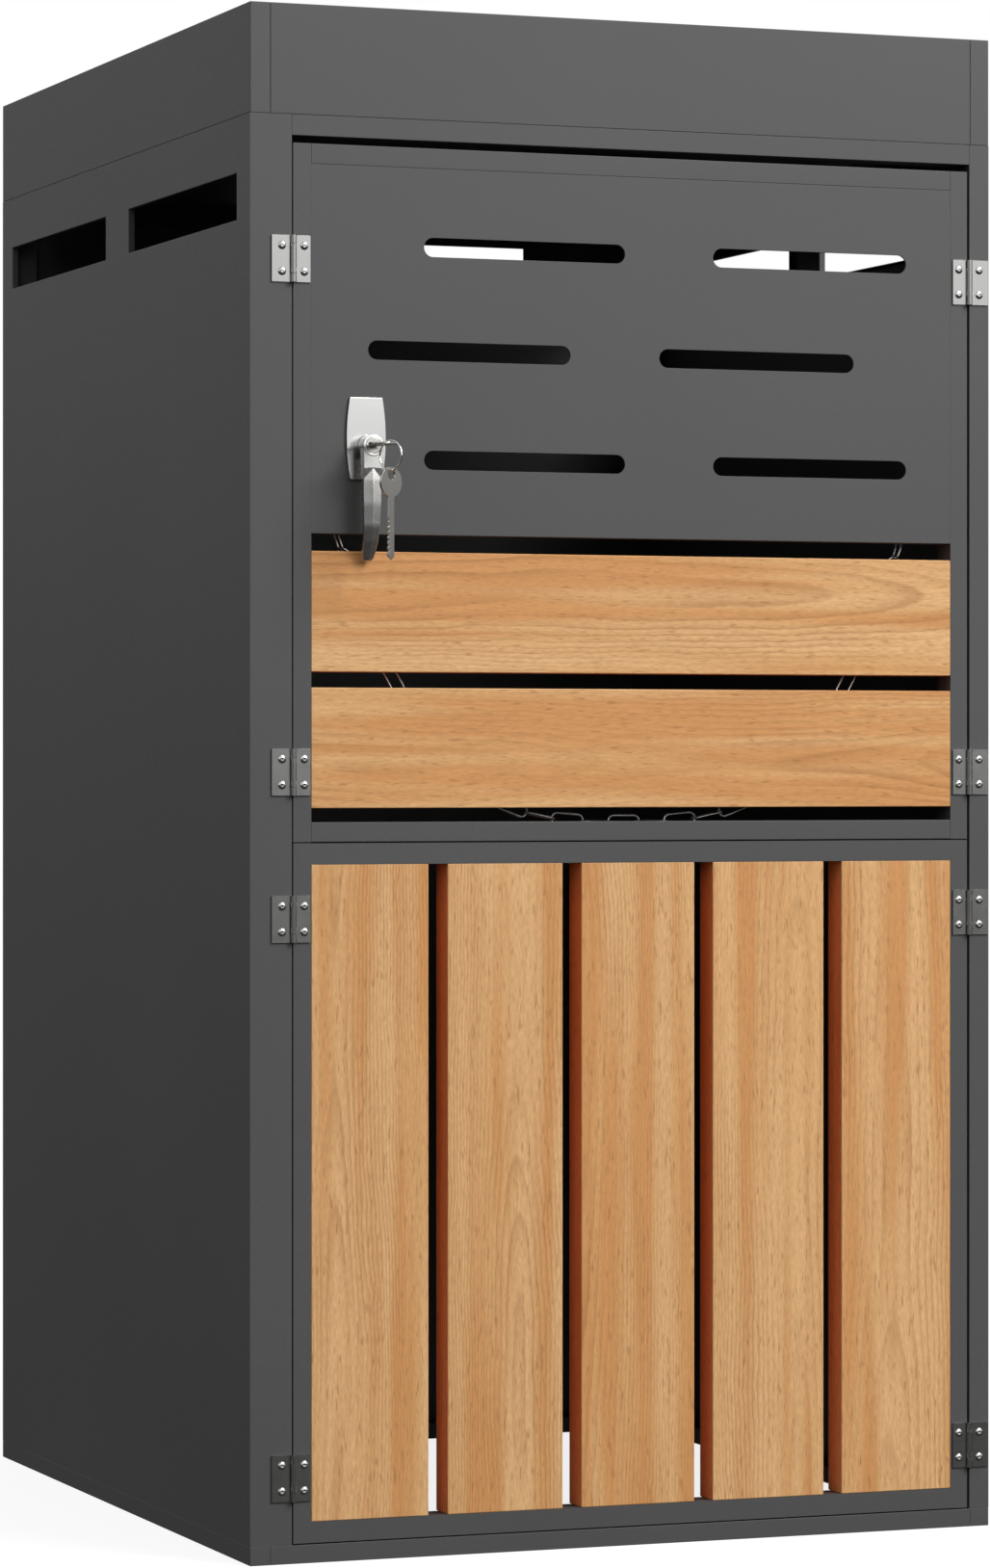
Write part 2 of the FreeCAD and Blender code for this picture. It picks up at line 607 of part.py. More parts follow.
def buildSpindle():
    # hollow shaft from the hub to the cam, square where it carries the cam
    shaft = rod("lock_x", "-1 * hub_start", "lock_z", "spindle_radius", "hub_start + spindle_length", "y")
    flats = box("lock_x - square / 2", "spindle_length", "lock_z - square / 2",
                "square", "cam_thick", "square")
    stub = rod("lock_x", "spindle_length", "lock_z", "square * 0.4", "cam_thick + cam_nut_thick", "y")
    bore = rod("lock_x", "-1 * hub_start", "lock_z", "cylinder_radius + pin_play",
               "hub_start + cylinder_length - hub_end + 0.4", "y")
    node(cut(fuse(shaft, flats, stub), bore), "handle_spindle")
    arm = box("lock_x - cam_wide / 2", "spindle_length", "lock_z - cam_length",
              "cam_wide", "cam_thick", "cam_length")
    head = rod("lock_x", "spindle_length", "lock_z", "cam_wide / 2", "cam_thick", "y")
    hole = box("lock_x - square / 2", "spindle_length", "lock_z - square / 2",
               "square", "cam_thick", "square")
    node(cut(fuse(arm, head), hole), "lock_cam")
    nut = hexagon("lock_x", "spindle_length + cam_thick", "lock_z", "cam_nut * 1.15", "cam_nut_thick")
    thread = rod("lock_x", "spindle_length", "lock_z", "square * 0.4", "cam_thick + cam_nut_thick", "y")
    node(cut(nut, thread), "cam_nut")


def leverSection(drop, front, back, wide, ridge):
    # five-cornered section of the handle, level, with a ridge along its front
    half = wide / 2
    points = [Vector(-half, back, -drop), Vector(half, back, -drop), Vector(half, front + ridge, -drop),
              Vector(0, front, -drop), Vector(-half, front + ridge, -drop)]
    return Part.makePolygon(points + points[:1])


def buildHandle():
    # the lever hangs from the hub, bows forwards and returns towards the door at its tip
    long = size("handle_length")
    hub_front = -size("hub_end")
    hub_back = -size("hub_start")
    r = size("hub_radius")
    # share of the length, y of the front ridge, y of the back, width, height of the ridge
    shape = ((0.0, hub_front, hub_back - 2, 17.4, 0.4), (0.18, -20.8, -12.4, 16.9, 0.6),
             (0.3, -20.8, -13.0, 16.0, 2.0), (0.5, -20.8, -13.0, 15.4, 2.2),
             (0.7, -19.8, -11.6, 14.2, 2.2), (0.82, -16.6, -9.0, 13.0, 2.0),
             (0.92, -11.8, -5.8, 11.6, 1.8), (1.0, -7.2, -3.6, 9.0, 1.2))
    sections = [leverSection(share * long, *rest) for share, *rest in shape]
    lever = Part.makeLoft(sections, True, False)
    hub = Part.makeCylinder(r, hub_back - hub_front, Vector(0, hub_front, 0), Vector(0, 1, 0))
    bore = Part.makeCylinder(size("cylinder_radius") + size("pin_play"), 60,
                             Vector(0, -40, 0), Vector(0, 1, 0))
    item = doc.addObject("Part::Feature", "handle_lever")
    item.Shape = hub.fuse(lever).cut(bore).removeSplitter()
    item.Placement = Placement(frameVector(size("lock_x"), 0, size("lock_z")), Rotation())
    node(item, "handle_lever")


KEY_CUTS = (1.3, 1.8, 0.9, 1.6, 1.1, 1.9, 1.4)   # depth of each cut in the blade's edge


def keyShape():
    # a flat key: the blade along +y, the bow at the origin, its hole towards -y
    r = size("bow_radius")
    thick = size("key_thick")
    half = size("blade_wide") / 2
    long = size("blade_length")
    bow = Part.makeCylinder(r, thick, Vector(0, 0, -thick / 2))
    tip = half * 0.8
    end = r + long
    outline = [Vector(-half, 0, 0), Vector(half, 0, 0), Vector(half, end - tip, 0),
               Vector(0, end, 0), Vector(-half, end - tip, 0)]
    blade = Part.Face(Part.makePolygon(outline + outline[:1])).extrude(Vector(0, 0, thick))
    blade.translate(Vector(0, 0, -thick / 2))
    key = bow.fuse(blade)
    hole = Part.makeCylinder(size("bow_hole"), thick * 2, Vector(0, -size("bow_hole_out"), -thick))
    key = key.cut(hole)
    apart = size("key_cut_half")
    for i, depth in enumerate(KEY_CUTS):
        y = end - size("key_cut_first") - i * size("key_cut_pitch")
        notch = [Vector(half + 1, y - apart, 0), Vector(half - depth, y, 0), Vector(half + 1, y + apart, 0)]
        bit = Part.Face(Part.makePolygon(notch + notch[:1])).extrude(Vector(0, 0, thick * 2))
        bit.translate(Vector(0, 0, -thick))
        key = key.cut(bit)
    return key.removeSplitter()


def ringFrame():
    # the ring hangs upright round the web between the bow's hole and its edge: its level
    # direction, its axis, and the middles of the bow's hole and of the ring
    turn = math.radians(size("ring_turn"))
    level = Vector(math.sin(turn), -math.cos(turn), 0)
    across = Vector(math.cos(turn), math.sin(turn), 0)
    out = size("bow_hole_out")
    edge = math.sqrt(size("bow_radius") ** 2 - (out * math.sin(turn)) ** 2) - out * math.cos(turn)
    web_middle = (edge + size("bow_hole")) / 2
    web_half = (edge - size("bow_hole")) / 2
    inner = size("ring_radius") - size("ring_wire") - size("ring_play")
    drop = math.sqrt(inner ** 2 - web_half ** 2) - size("key_thick") / 2
    middle_y = -size("reach") + size("ring_radius") * math.cos(turn) + size("ring_wire")
    hole = Vector(size("lock_x"), middle_y + web_middle * math.cos(turn), size("lock_z"))
    middle = hole + level * web_middle - Vector(0, 0, drop)
    return level, across, hole, middle


def buildKeys():
    level, across, hole, middle = ringFrame()
    key = doc.addObject("Part::Feature", "door_key")
    key.Shape = keyShape()
    bow = hole + Vector(0, size("bow_hole_out"), 0)
    key.Placement = Placement(frameVector(*bow), Rotation())
    node(key, "door_key")
    ring = doc.addObject("Part::Torus", "key_ring")
    bind(ring, Radius1="ring_radius", Radius2="ring_wire")
    ring.Placement = Placement(frameVector(*middle), Rotation(Vector(0, 0, 1), across))
    node(ring, "key_ring")
    spare = doc.addObject("Part::Feature", "spare_key")
    spare.Shape = keyShape()
    # the wire's lowest point passes the spare key's hole, just under the hole's upper edge
    play = size("bow_hole") - size("ring_wire") - 0.15
    low = middle - Vector(0, 0, size("ring_radius") + play + size("bow_hole_out"))
    turned = Rotation(across * -1, Vector(0, 0, -1), level, "XYZ")
    spare.Placement = Placement(frameVector(*low), turned)
    node(spare, "spare_key")


# --- chain ---

def chainPoint(offset):
    # the chain hangs in a deep bight that is nearly level along its foot
    rise = size("chain_drop") * abs(offset / size("chain_half")) ** size("chain_power")
    return Vector(size("chain_middle") + offset, size("chain_y"), size("chain_low") + rise)


def chainJoints():
    # points along the curve, one link pitch apart, from the middle outwards
    pitch = size("link_length") - 4 * size("link_wire") - size("link_play")
    joints = []
    for sign in (-1, 1):
        offset = sign * pitch / 2
        side = [chainPoint(offset)]
        for _ in range(int(size("links_each_side"))):
            start = side[-1]
            low, high = offset, offset + sign * pitch
            for _ in range(40):
                middle = (low + high) / 2
                if (chainPoint(middle) - start).Length < pitch:
                    low = middle
                else:
                    high = middle
            offset = low
            side.append(chainPoint(offset))
        joints.append(side)
    return joints[0][::-1] + joints[1]


def linkShape():
    # an oval wire link along x, lying in the x-z plane
    wire = size("link_wire")
    bend = size("link_wide") / 2 - wire
    half = size("link_length") / 2 - wire - bend
    up = Vector(0, 0, bend)
    left = Vector(-half, 0, 0)
    right = Vector(half, 0, 0)
    side = Vector(1, 0, 0)
    path = Part.Wire([
        Part.LineSegment(left + up, right + up).toShape(),
        Part.Arc(right + up, right + side * bend, right - up).toShape(),
        Part.LineSegment(right - up, left - up).toShape(),
        Part.Arc(left - up, left - side * bend, left + up).toShape(),
    ])
    section = Part.Wire(Part.Circle(Vector(0, 0, bend), side, wire).toShape())
    pieces = path.makePipeShell([section], True, True)
    return pieces


def buildChain():
    joints = chainJoints()
    link = linkShape()
    links = []
    for i in range(len(joints) - 1):
        along = joints[i + 1] - joints[i]
        tilt = math.degrees(math.atan2(along.z, along.x))
        turn = Rotation(Vector(0, 1, 0), -tilt)
        # every other link lies across the door
        twist = Rotation(Vector(1, 0, 0), 0 if i % 2 == 0 else 90)
        middle = (joints[i] + joints[i + 1]) / 2
        piece = link.copy()
        piece.Placement = Placement(frameVector(*middle), turn.multiply(twist))
        links.append(piece)
    item = doc.addObject("Part::Feature", "door_chain")
    item.Shape = Part.Compound(links)
    item.Placement = Placement()
    node(item, "door_chain")
    eyes = []
    wire = size("eye_wire")
    for end in (joints[0], joints[-1]):
        # the end link hangs in the eye, just above the eye's lowest point
        rise = size("eye_radius") - wire - 2 * size("link_wire") - size("link_play")
        middle = end + Vector(0, 0, rise)
        ring = Part.makeTorus(size("eye_radius"), wire, frameVector(*middle), Vector(1, 0, 0))
        back = size("frame_depth")
        stem_end = middle.y - size("eye_radius")
        start = frameVector(middle.x, back, middle.z)
        stem = Part.makeCylinder(wire, stem_end - back, start, Vector(0, 1, 0))
        base = Part.makeCylinder(size("eye_base"), size("sheet"), start, Vector(0, 1, 0))
        eyes.append(ring.fuse([stem, base]).removeSplitter())
    item = doc.addObject("Part::Feature", "chain_eyes")
    item.Shape = Part.Compound(eyes)
    item.Placement = Placement()
    node(item, "chain_eyes")


# --- slide bolt ---

def boltLoop(x, long):
    # a block on the frame's back with a running bore for the bolt
    side = "(bolt_radius + bolt_wall)"
    return box(x, "frame_depth", "bolt_z - " + side, long, "bolt_y - frame_depth + " + side, "2 * " + side)


def buildBolt():
    low = "bolt_z - bolt_radius - bolt_wall"
    rise = "2 * (bolt_radius + bolt_wall)"
    bore = rod("0", "bolt_y", "bolt_z", "bolt_radius + bolt_play", "bolt_bore_long", "x")
    plate = box("bolt_guide_x", "frame_depth", low, "bolt_guide_long", "sheet", rise)
    loops = [boltLoop("bolt_guide_x", "bolt_loop_long"),
             boltLoop("bolt_guide_x + bolt_guide_long - bolt_loop_long", "bolt_loop_long")]
    node(cut(fuse(plate, *loops), bore), "bolt_guide")
    keeper = box("bolt_keeper_x", "post_depth", low, "bolt_keeper_long",
                 "bolt_y - post_depth + bolt_radius + bolt_wall", rise)
    mouth = rod("0", "bolt_y", "bolt_z", "bolt_radius + 4 * bolt_play", "bolt_bore_long", "x")
    node(cut(keeper, mouth), "bolt_keeper")
    shaft = rod("bolt_start", "bolt_y", "bolt_z", "bolt_radius", "bolt_length", "x")
    knob = rod("bolt_knob_x", "bolt_y", "bolt_z", "bolt_radius * 0.7", "bolt_knob_rise", "y")
    node(fuse(shaft, knob), "slide_bolt")


# --- checks and export ---

def checkObjects():
    for item in doc.Objects:
        for state in ("Invalid", "Error"):
            if state in item.State:
                raise ValueError("%s (%s) is %s" % (item.Name, item.Label, state))
    for item in nodes:
        shape = item.Shape
        if shape.isNull() or not shape.isValid():
            raise ValueError("%s has no valid shape" % item.Label)


def exportNodes():
    os.makedirs("parts", exist_ok=True)
    for item in nodes:
        item.Shape.exportStep(os.path.join("parts", item.Label + ".step"))
        print("%-26s %3d solids %9.1f cm3" % (item.Label, len(item.Shape.Solids), item.Shape.Volume / 1000))
    print(len(nodes), "nodes")


fillSheet()
buildBase()
buildPosts()
buildHeaders()
buildSidePanel("side_panel_left", "0", False)
buildSidePanel("side_panel_right", "width", True)
buildBackPanel()
buildFascia()
buildTray()
buildHinges()
buildLowerDoor()
buildUpperDoor()
buildSlottedPanel()
buildEscutcheon()
buildLockFittings()
buildSpindle()
buildHandle()
buildKeys()
buildChain()
buildBolt()
doc.recompute()
checkObjects()
exportNodes()
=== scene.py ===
import json
import math

import bmesh
import bpy
from mathutils import Matrix, Vector


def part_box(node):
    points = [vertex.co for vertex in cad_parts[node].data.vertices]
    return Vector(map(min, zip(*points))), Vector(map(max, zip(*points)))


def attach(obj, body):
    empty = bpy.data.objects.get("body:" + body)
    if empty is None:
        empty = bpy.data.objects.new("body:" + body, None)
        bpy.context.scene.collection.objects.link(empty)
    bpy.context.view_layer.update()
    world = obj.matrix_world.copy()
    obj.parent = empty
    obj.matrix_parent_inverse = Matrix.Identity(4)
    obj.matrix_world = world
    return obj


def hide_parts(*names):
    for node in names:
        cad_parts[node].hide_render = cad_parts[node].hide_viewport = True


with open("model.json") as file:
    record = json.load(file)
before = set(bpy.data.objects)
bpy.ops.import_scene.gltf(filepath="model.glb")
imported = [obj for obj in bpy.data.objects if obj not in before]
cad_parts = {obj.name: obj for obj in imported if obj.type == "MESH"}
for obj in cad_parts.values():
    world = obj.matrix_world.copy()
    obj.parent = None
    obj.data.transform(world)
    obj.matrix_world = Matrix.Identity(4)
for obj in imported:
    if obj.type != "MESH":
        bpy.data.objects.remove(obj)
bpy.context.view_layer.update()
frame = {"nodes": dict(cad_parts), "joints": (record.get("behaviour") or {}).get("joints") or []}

scene = bpy.context.scene
mm = 0.001


def deselectAll():
    if bpy.context.mode != "OBJECT":
        bpy.ops.object.mode_set(mode="OBJECT")
    bpy.ops.object.select_all(action="DESELECT")


def pick(piece):
    deselectAll()
    piece.select_set(True)
    bpy.context.view_layer.objects.active = piece
    return piece


def named(name):
    piece = bpy.context.active_object
    piece.name = name
    piece.data.name = name
    return piece


def settle(piece):
    # the place goes into the mesh, so that the object sits at the origin
    pick(piece)
    bpy.ops.object.transform_apply(location=True, rotation=True, scale=True)
    return piece


def selectFaces(piece, test):
    # faces chosen by their middle and normal, in edit mode
    mesh = bmesh.from_edit_mesh(piece.data)
    for face in mesh.faces:
        face.select_set(bool(test(face.calc_center_median(), face.normal)))
    mesh.select_flush_mode()
    bmesh.update_edit_mesh(piece.data)


def selectEdges(piece, test):
    # edges chosen by their two ends, in edit mode
    bpy.ops.mesh.select_all(action="DESELECT")
    mesh = bmesh.from_edit_mesh(piece.data)
    for edge in mesh.edges:
        if test(edge.verts[0].co, edge.verts[1].co):
            edge.select_set(True)
    bmesh.update_edit_mesh(piece.data)


def selectPoints(piece, test):
    # corners chosen by their place, in edit mode
    bpy.ops.mesh.select_all(action="DESELECT")
    mesh = bmesh.from_edit_mesh(piece.data)
    for vert in mesh.verts:
        if test(vert.co):
            vert.select_set(True)
    bmesh.update_edit_mesh(piece.data)


def editMode(kind="FACE"):
    bpy.ops.object.mode_set(mode="EDIT")
    bpy.ops.mesh.select_mode(type=kind)


def objectMode():
    bpy.ops.object.mode_set(mode="OBJECT")


def softenEdges(piece, width, segments=2, angle=30):
    pick(piece)
    bevel = piece.modifiers.new("softEdge", "BEVEL")
    bevel.width = width
    bevel.segments = segments
    bevel.limit_method = "ANGLE"
    bevel.angle_limit = math.radians(angle)
    bevel.use_clamp_overlap = True
    bevel.harden_normals = False
    bpy.ops.object.modifier_apply(modifier=bevel.name)
    return piece


def smoothByAngle(piece, angle=35):
    # round edges shade smoothly and the flat faces between them stay flat
    pick(piece)
    bpy.ops.object.shade_smooth_by_angle(angle=math.radians(angle))
    weigh = piece.modifiers.new("flatFaces", "WEIGHTED_NORMAL")
    weigh.weight = 100
    weigh.keep_sharp = True
    bpy.ops.object.modifier_apply(modifier=weigh.name)
    return piece


def paint(piece, material):
    piece.data.materials.clear()
    piece.data.materials.append(material)
    return piece


def hand(piece, body, slotName, *nodes):
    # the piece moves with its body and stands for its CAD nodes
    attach(piece, body)
    if nodes:
        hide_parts(*nodes)
    return piece


def copyNode(nodeName, pieceName, edge=0.5, segments=3, angle=35):
    # a CAD node's shape, its triangles merged to whole faces and its edges eased
    mesh = frame["nodes"][nodeName].data.copy()
    piece = bpy.data.objects.new(pieceName, mesh)
    mesh.name = pieceName
    scene.collection.objects.link(piece)
    pick(piece)
    editMode()
    bpy.ops.mesh.select_all(action="SELECT")
    bpy.ops.mesh.customdata_custom_splitnormals_clear()
    bpy.ops.mesh.remove_doubles(threshold=0.01 * mm)
    bpy.ops.mesh.dissolve_limited(angle_limit=math.radians(0.5))
    objectMode()
    if edge:
        softenEdges(piece, edge * mm, segments, angle)
    return smoothByAngle(piece)


def hexColor(text):
    # an sRGB hex value as linear red, green, blue and alpha
    parts = [int(text[i:i + 2], 16) / 255 for i in (1, 3, 5)]
    return tuple(c / 12.92 if c <= 0.04045 else ((c + 0.055) / 1.055) ** 2.4 for c in parts) + (1.0,)


def addNode(tree, kind, inputs=None, stops=(), **settings):
    # a node with its settings; an input is a value or another node's output, and stops are the
    # places and colours of a colour ramp
    node = tree.nodes.new(kind)
    for key, value in settings.items():
        setattr(node, key, value)
    for key, value in (inputs or {}).items():
        if isinstance(value, bpy.types.NodeSocket):
            tree.links.new(value, node.inputs[key])
        else:
            node.inputs[key].default_value = value
    if stops:
        ramp = node.color_ramp
        while len(ramp.elements) < len(stops):
            ramp.elements.new(0.5)
        for element, (place, colour) in zip(ramp.elements, stops):
            element.position = place
            element.color = (*colour[:3], 1)
    return node


def newMaterial(name):
    material = bpy.data.materials.new(name)
    material.use_nodes = True
    tree = material.node_tree
    shader = tree.nodes["Principled BSDF"]
    return material, tree, shader


powderLook = {
    "colour": "#515151",       # anthracite, the same grey all over
    "darker": "#4C4C4C",
    "roughness": 0.52,
    "cloudsPerMetre": 3.2,     # slow drifts of tone
    "grainSize": 2.4,          # mm between the humps of the baked powder
    "grainDepth": 0.05,        # mm
    "grainStrength": 0.35,
}


def powderCoatedSteel():
    # polyester powder baked on steel: an even matt grey with a faint orange-peel texture. The real
    # humps are about 0.5 mm apart, too fine to show, so they are drawn at about 2.4 mm.
    look = powderLook
    material, tree, shader = newMaterial("powder-coated steel")
    place = addNode(tree, "ShaderNodeTexCoord").outputs["Object"]
    cloud = addNode(tree, "ShaderNodeTexNoise",
                    {"Vector": place, "Scale": look["cloudsPerMetre"], "Detail": 3.0})
    speckle = addNode(tree, "ShaderNodeTexNoise",
                      {"Vector": place, "Scale": 1 / (look["grainSize"] * mm), "Detail": 2.0})
    both = addNode(tree, "ShaderNodeMath", {0: cloud.outputs["Fac"], 1: speckle.outputs["Fac"]},
                   operation="MULTIPLY")
    tint = addNode(tree, "ShaderNodeValToRGB", {"Fac": both.outputs[0]},
                   stops=[(0.12, hexColor(look["darker"])), (0.42, hexColor(look["colour"]))])
    rough = addNode(tree, "ShaderNodeMapRange",
                    {"Value": speckle.outputs["Fac"], "From Min": 0.3, "From Max": 0.7,
                     "To Min": look["roughness"] - 0.04, "To Max": look["roughness"] + 0.05})
    bump = addNode(tree, "ShaderNodeBump",
                   {"Height": speckle.outputs["Fac"], "Strength": look["grainStrength"],
                    "Distance": look["grainDepth"] * mm})
    tree.links.new(tint.outputs["Color"], shader.inputs["Base Color"])
    tree.links.new(rough.outputs["Result"], shader.inputs["Roughness"])
    tree.links.new(bump.outputs["Normal"], shader.inputs["Normal"])
    shader.inputs["IOR"].default_value = 1.45
    return material


woodLook = {
    "pale": "#EEBF88",
    "body": "#E5B37B",
    "orange": "#DC9F64",
    "line": "#B98350",
    "pore": "#A56E3E",
    "roughness": 0.5,
}
# the boards' narrow faces and ends: the same wood, redder and more orange, a painted warm bounce light
# standing for light passed between neighbouring boards
edgeBounceLook = {
    "pale": "#F2A770",
    "body": "#EC9B64",
    "orange": "#E28D56",
    "line": "#C46C3A",
    "pore": "#A4542B",
    "roughness": 0.55,
}
grainLook = {
    "ring": 2.5,               # mm from one growth ring to the next
    "fibre": 1.5,              # mm between fine streaks
    "wander": 30,              # mm that the rings stray across the board
    "tremble": 5,              # mm
    "drift": 30,               # mm that they stray through its thickness
    "lean": 0.006,             # how fast the log's heart leaves the board
    "fibreMix": 0.34,          # how far each of these darkens the wood, from 0 to 1
    "strandMix": 0.16,
    "ringMix": 0.80,
    "poreMix": 0.5,
    "relief": 0.15,            # mm
    # layers of noise: humps a metre across, through and along the board, their detail, and how
    # far the layer is shifted from the others
    "layers": {
        "wander": ((9, 9, 2.6), 2.0, 0.0),
        "tremble": ((60, 60, 24), 3.0, 3.1),
        "drift": ((4, 4, 2.0), 1.0, 7.7),
        "patches": ((22, 22, 4), 2.0, 11.0),
        "bands": ((38, 38, 1.3), 2.0, 5.3),
        "pores": ((480, 480, 70), 1.0, 9.2),
    },
}


def oiledHardwood(name, look):
    # planed and oiled hardwood boards: straight fine fibres, wandering tone bands along the board
    # and growth rings that show as nested flames where the saw cut near the heart. Every board
    # carries its own place in the log as the attribute "grain": across, through, along, in metres.
    material, tree, shader = newMaterial(name)
    grain = addNode(tree, "ShaderNodeAttribute", attribute_name="grain").outputs["Vector"]
    perMetre = 1 / (grainLook["fibre"] * mm)
    layers = dict(grainLook["layers"])
    layers["fibres"] = ((perMetre, perMetre, 130), 3.0, 1.7)
    layers["strands"] = ((perMetre / 3, perMetre / 3, 16), 2.0, 4.9)
    noise = {}
    for layer, (humps, detail, shift) in layers.items():
        mapped = addNode(tree, "ShaderNodeMapping", {"Vector": grain, "Location": (shift,) * 3,
                                                     "Scale": humps})
        noise[layer] = addNode(tree, "ShaderNodeTexNoise",
                               {"Vector": mapped.outputs[0], "Scale": 1.0, "Detail": detail}
                               ).outputs["Fac"]

    across, through, along = addNode(tree, "ShaderNodeSeparateXYZ", {0: grain}).outputs
    # the rings wander slowly along the board and tremble finely
    spread, shake, sink = (grainLook[key] * mm for key in ("wander", "tremble", "drift"))
    wander = addNode(tree, "ShaderNodeMath", {0: noise["wander"], 1: spread, 2: -spread / 2},
                     operation="MULTIPLY_ADD").outputs[0]
    tremble = addNode(tree, "ShaderNodeMath", {0: noise["tremble"], 1: shake, 2: -shake / 2},
                      operation="MULTIPLY_ADD").outputs[0]
    strayed = addNode(tree, "ShaderNodeMath", {0: across, 1: wander}, operation="ADD").outputs[0]
    bent = addNode(tree, "ShaderNodeMath", {0: strayed, 1: tremble}, operation="ADD").outputs[0]
    drift = addNode(tree, "ShaderNodeMath", {0: noise["drift"], 1: sink, 2: -sink / 6},
                    operation="MULTIPLY_ADD").outputs[0]
    lean = addNode(tree, "ShaderNodeMath", {0: along, 1: grainLook["lean"]},
                   operation="MULTIPLY").outputs[0]
    sunk = addNode(tree, "ShaderNodeMath", {0: through, 1: drift}, operation="ADD").outputs[0]
    deep = addNode(tree, "ShaderNodeMath", {0: sunk, 1: lean}, operation="ADD").outputs[0]
    # how far from the heart, in rings
    bentSquared = addNode(tree, "ShaderNodeMath", {0: bent, 1: bent}, operation="MULTIPLY").outputs[0]
    deepSquared = addNode(tree, "ShaderNodeMath", {0: deep, 1: deep}, operation="MULTIPLY").outputs[0]
    summed = addNode(tree, "ShaderNodeMath", {0: bentSquared, 1: deepSquared},
                     operation="ADD").outputs[0]
    far = addNode(tree, "ShaderNodeMath", {0: summed}, operation="SQRT").outputs[0]
    counted = addNode(tree, "ShaderNodeMath", {0: far, 1: grainLook["ring"] * mm},
                      operation="DIVIDE").outputs[0]
    saw = addNode(tree, "ShaderNodeMath", {0: counted}, operation="FRACT").outputs[0]
    # a ring darkens slowly and ends sharply
    rise = addNode(tree, "ShaderNodeMath", {0: saw, 1: 3.0}, operation="POWER").outputs[0]
    fall = addNode(tree, "ShaderNodeMapRange", {"Value": saw, "From Min": 0.86, "From Max": 1.0,
                                                "To Min": 1.0, "To Max": 0.0}).outputs["Result"]
    patches = addNode(tree, "ShaderNodeMapRange",
                      {"Value": noise["patches"], "From Min": 0.38, "From Max": 0.62,
                       "To Min": 0.2, "To Max": 1.0}).outputs["Result"]
    shaped = addNode(tree, "ShaderNodeMath", {0: rise, 1: fall}, operation="MULTIPLY").outputs[0]
    rings = addNode(tree, "ShaderNodeMath", {0: shaped, 1: patches}, operation="MULTIPLY").outputs[0]
    fibres = addNode(tree, "ShaderNodeMapRange", {"Value": noise["fibres"], "From Min": 0.33,
                                                  "From Max": 0.67}).outputs["Result"]
    strands = addNode(tree, "ShaderNodeMapRange", {"Value": noise["strands"], "From Min": 0.33,
                                                   "From Max": 0.67}).outputs["Result"]
    tone = addNode(tree, "ShaderNodeValToRGB", {"Fac": noise["bands"]},
                   stops=[(0.40, hexColor(look["pale"])), (0.5, hexColor(look["body"])),
                          (0.60, hexColor(look["orange"]))])
    coarse = addNode(tree, "ShaderNodeMath", {0: strands, 1: grainLook["strandMix"]},
                     operation="MULTIPLY").outputs[0]
    hair = addNode(tree, "ShaderNodeMath", {0: fibres, 1: grainLook["fibreMix"], 2: coarse},
                   operation="MULTIPLY_ADD").outputs[0]
    streaked = addNode(tree, "ShaderNodeMix", {0: hair, 6: tone.outputs["Color"],
                                               7: hexColor(look["line"])}, data_type="RGBA")
    ringShare = addNode(tree, "ShaderNodeMath", {0: rings, 1: grainLook["ringMix"]},
                        operation="MULTIPLY").outputs[0]
    ringed = addNode(tree, "ShaderNodeMix", {0: ringShare, 6: streaked.outputs[2],
                                             7: hexColor(look["pore"])}, data_type="RGBA")
    # pores: short dark dashes along the grain
    dashes = addNode(tree, "ShaderNodeMapRange", {"Value": noise["pores"], "From Min": 0.62,
                                                  "From Max": 0.74}).outputs["Result"]
    poreShare = addNode(tree, "ShaderNodeMath", {0: dashes, 1: grainLook["poreMix"]},
                        operation="MULTIPLY").outputs[0]
    pored = addNode(tree, "ShaderNodeMix", {0: poreShare, 6: ringed.outputs[2],
                                            7: hexColor(look["pore"])}, data_type="RGBA")
    # fibres and pores lie a little below the surface
    half = addNode(tree, "ShaderNodeMath", {0: fibres, 1: 0.5}, operation="MULTIPLY").outputs[0]
    most = addNode(tree, "ShaderNodeMath", {0: dashes, 1: 0.6}, operation="MULTIPLY").outputs[0]
    height = addNode(tree, "ShaderNodeMath", {0: half, 1: most}, operation="ADD").outputs[0]
    bump = addNode(tree, "ShaderNodeBump", {"Height": height, "Strength": 0.25,
                                            "Distance": grainLook["relief"] * mm}, invert=True)
    rough = addNode(tree, "ShaderNodeMapRange",
                    {"Value": fibres, "To Min": look["roughness"] - 0.05,
                     "To Max": look["roughness"] + 0.07})
    tree.links.new(pored.outputs[2], shader.inputs["Base Color"])
    tree.links.new(rough.outputs["Result"], shader.inputs["Roughness"])
    tree.links.new(bump.outputs["Normal"], shader.inputs["Normal"])
    shader.inputs["IOR"].default_value = 1.45
    shader.inputs["Specular IOR Level"].default_value = 0.3
    return material


metalLook = {
    "cloudsPerMetre": 120,
    "darkest": 0.98,           # share of the colour
    "glossSpread": 0.04,       # share of the roughness, either way
    "reliefStrength": 0.03,
    "relief": 0.0006,          # mm
}


